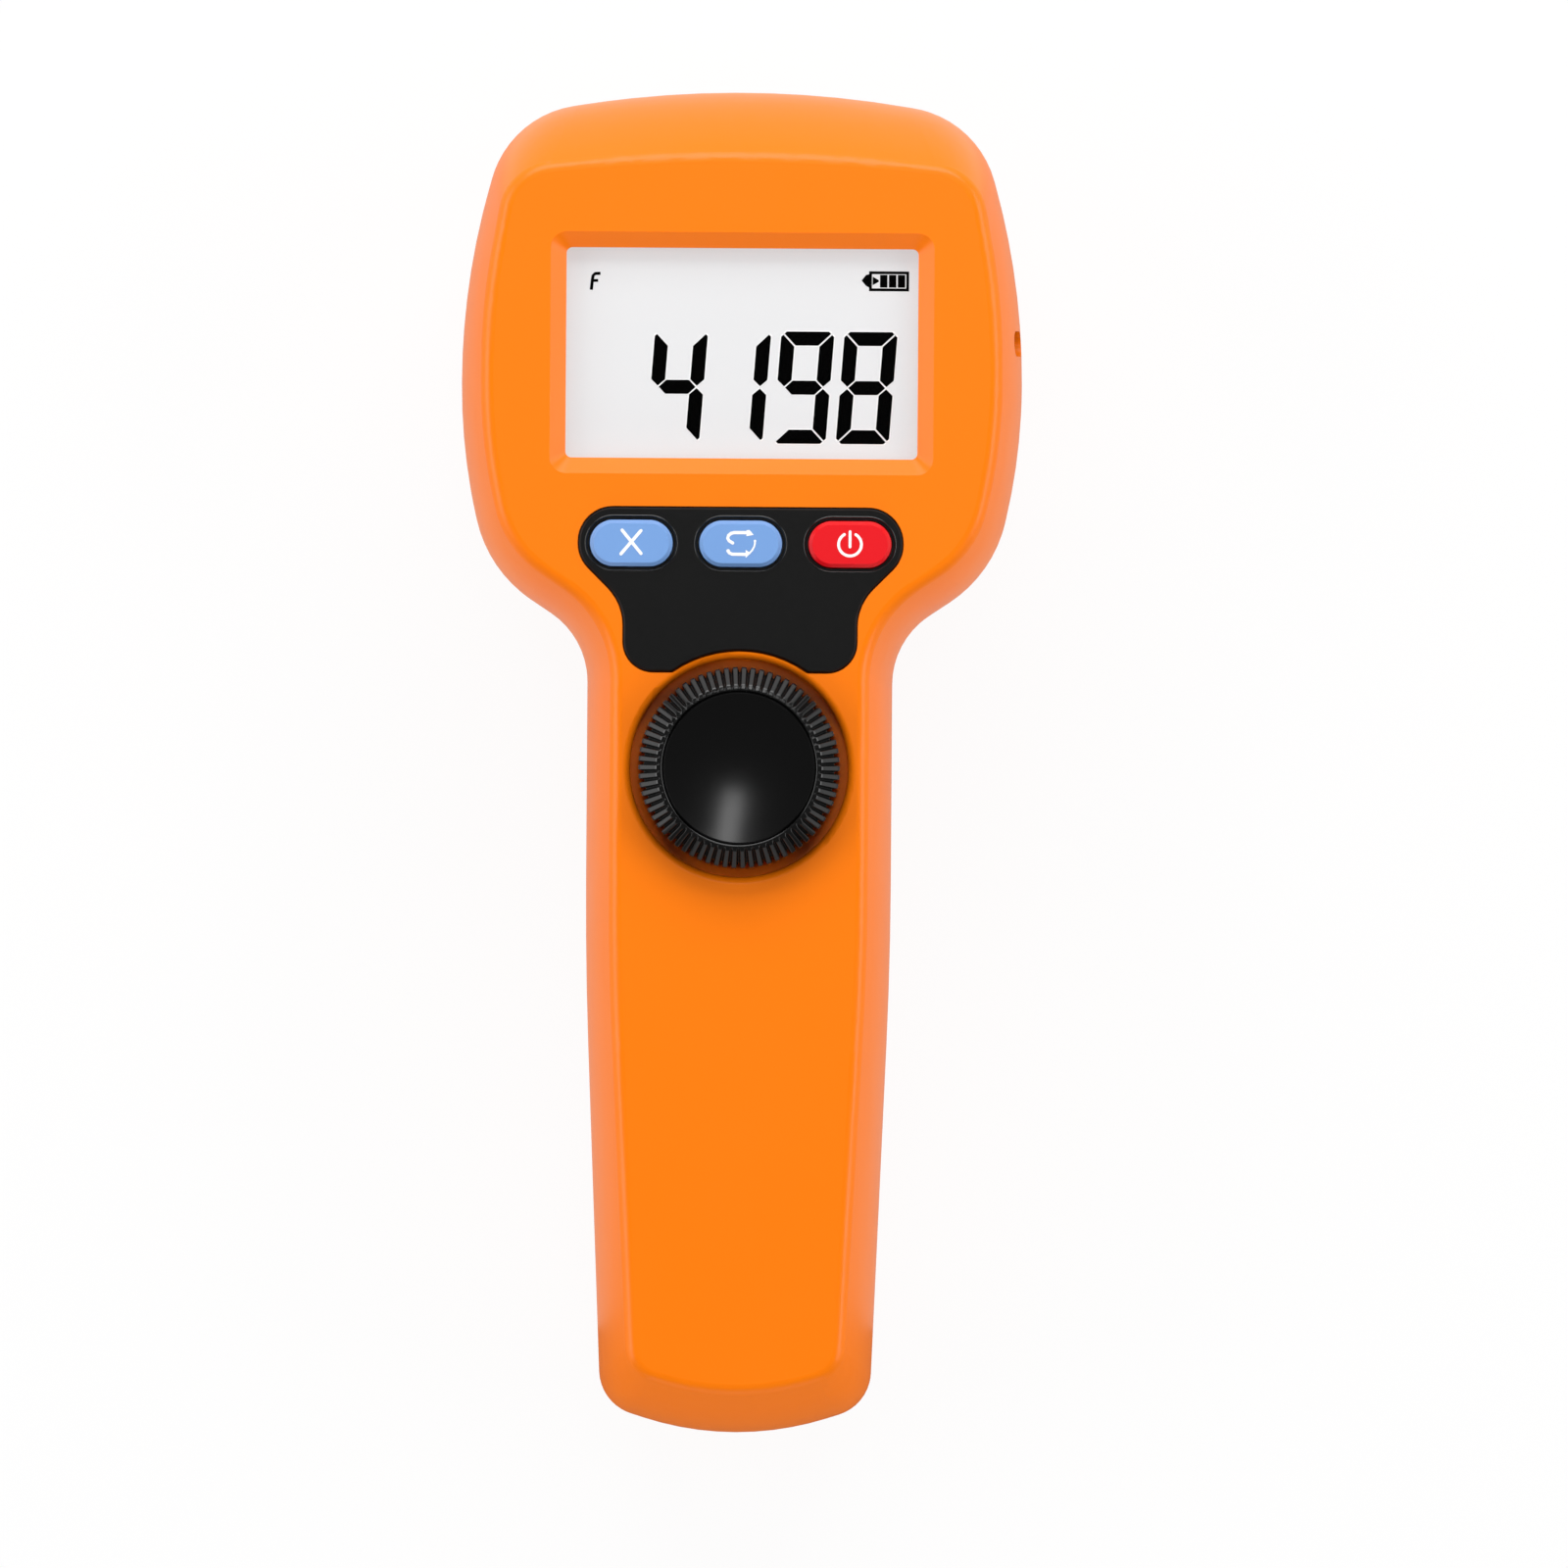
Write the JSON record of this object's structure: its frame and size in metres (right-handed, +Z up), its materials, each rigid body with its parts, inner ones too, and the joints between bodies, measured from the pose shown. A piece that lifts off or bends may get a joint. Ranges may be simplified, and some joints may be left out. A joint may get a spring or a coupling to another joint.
{
  "type": "stroboscope tachometer",
  "caption": "Handheld LED stroboscope tachometer: wide head with a display and keys, a ribbed turning knob at the neck, a grip, and a lamp window on the back.",
  "frame": {"origin": "middle of the object's outline, on the surface that it lies on", "axes": "+X to the right of the display, +Y from the handle to the top of the head, +Z up out of the display face"},
  "size_m": [0.0836, 0.2, 0.0526],
  "materials": {
    "orange_abs": "satin moulded ABS",
    "screw_steel": "zinc-plated steel",
    "brass": "turned brass",
    "clear_acrylic": "clear acrylic",
    "lcd_grey": "liquid crystal cell",
    "white_plastic": "moulded white",
    "strip_rubber": "silicone strip",
    "black_plastic": "moulded black",
    "blue_key": "satin moulded",
    "red_key": "satin moulded",
    "board_green": "solder mask",
    "board_white": "aluminium-cored board",
    "chip_black": "epoxy",
    "plated_metal": "nickel plated",
    "knob_plastic": "moulded black",
    "knob_gloss": "polished black",
    "gasket_rubber": "silicone",
    "reflector_mirror": "metallised plastic",
    "led_yellow": "phosphor",
    "sink_aluminium": "extruded aluminium",
    "cell_wrap": "shrink sleeve",
    "red_sleeve": "wire sleeve",
    "black_sleeve": "wire sleeve"
  },
  "bodies": {
    "case": {"display_cover": "orange_abs", "lamp_cover": "orange_abs", "battery_door": "orange_abs", "case_screws": "screw_steel", "door_screw": "screw_steel", "board_screws": "screw_steel", "lamp_screws": "screw_steel", "tripod_bush": "brass", "lcd_window": "clear_acrylic", "lcd_glass": "lcd_grey", "lcd_holder": "white_plastic", "contact_strips": "strip_rubber", "key_panel": "black_plastic", "tact_switches": "black_plastic", "main_board": "board_green", "microcontroller": "chip_black", "board_chips": "chip_black", "encoder_body": "black_plastic", "encoder_bushing": "plated_metal", "encoder_washer": "plated_metal", "encoder_nut": "plated_metal", "lamp_bezel": "black_plastic", "lens_gasket": "gasket_rubber", "lamp_lens": "clear_acrylic", "reflector": "reflector_mirror", "led_board": "board_white", "led_emitters": "led_yellow", "heat_sink": "sink_aluminium", "battery_cell": "cell_wrap", "battery_holder": "black_plastic", "battery_contact": "plated_metal", "battery_spring": "plated_metal", "charge_socket": "plated_metal", "charge_board": "board_green", "lamp_lead_plus": "red_sleeve", "lamp_lead_minus": "black_sleeve", "battery_lead_plus": "red_sleeve", "battery_lead_minus": "black_sleeve"},
    "mode_key": {"mode_button": "blue_key", "mode_plunger": "black_plastic"},
    "swap_key": {"swap_button": "blue_key", "swap_plunger": "black_plastic"},
    "power_key": {"power_button": "red_key", "power_plunger": "black_plastic"},
    "knob_set": {"knob": "knob_plastic", "knob_cap": "knob_gloss", "encoder_shaft": "plated_metal"}
  },
  "joints": [
    {"name": "mode_press", "type": "slide", "parent": "case", "child": "mode_key", "axis": [0, 0, -1], "range_m": [0, 0.0005], "stiffness_N_per_m": 800, "springref_m": -0.0005},
    {"name": "swap_press", "type": "slide", "parent": "case", "child": "swap_key", "axis": [0, 0, -1], "range_m": [0, 0.0005], "stiffness_N_per_m": 800, "springref_m": -0.0005},
    {"name": "power_press", "type": "slide", "parent": "case", "child": "power_key", "axis": [0, 0, -1], "range_m": [0, 0.0005], "stiffness_N_per_m": 800, "springref_m": -0.0005},
    {"name": "knob_turn", "type": "hinge", "parent": "case", "child": "knob_set", "pos_m": [0, -0.0008, 0.045], "axis": [0, 0, 1], "continuous": true}
  ]
}
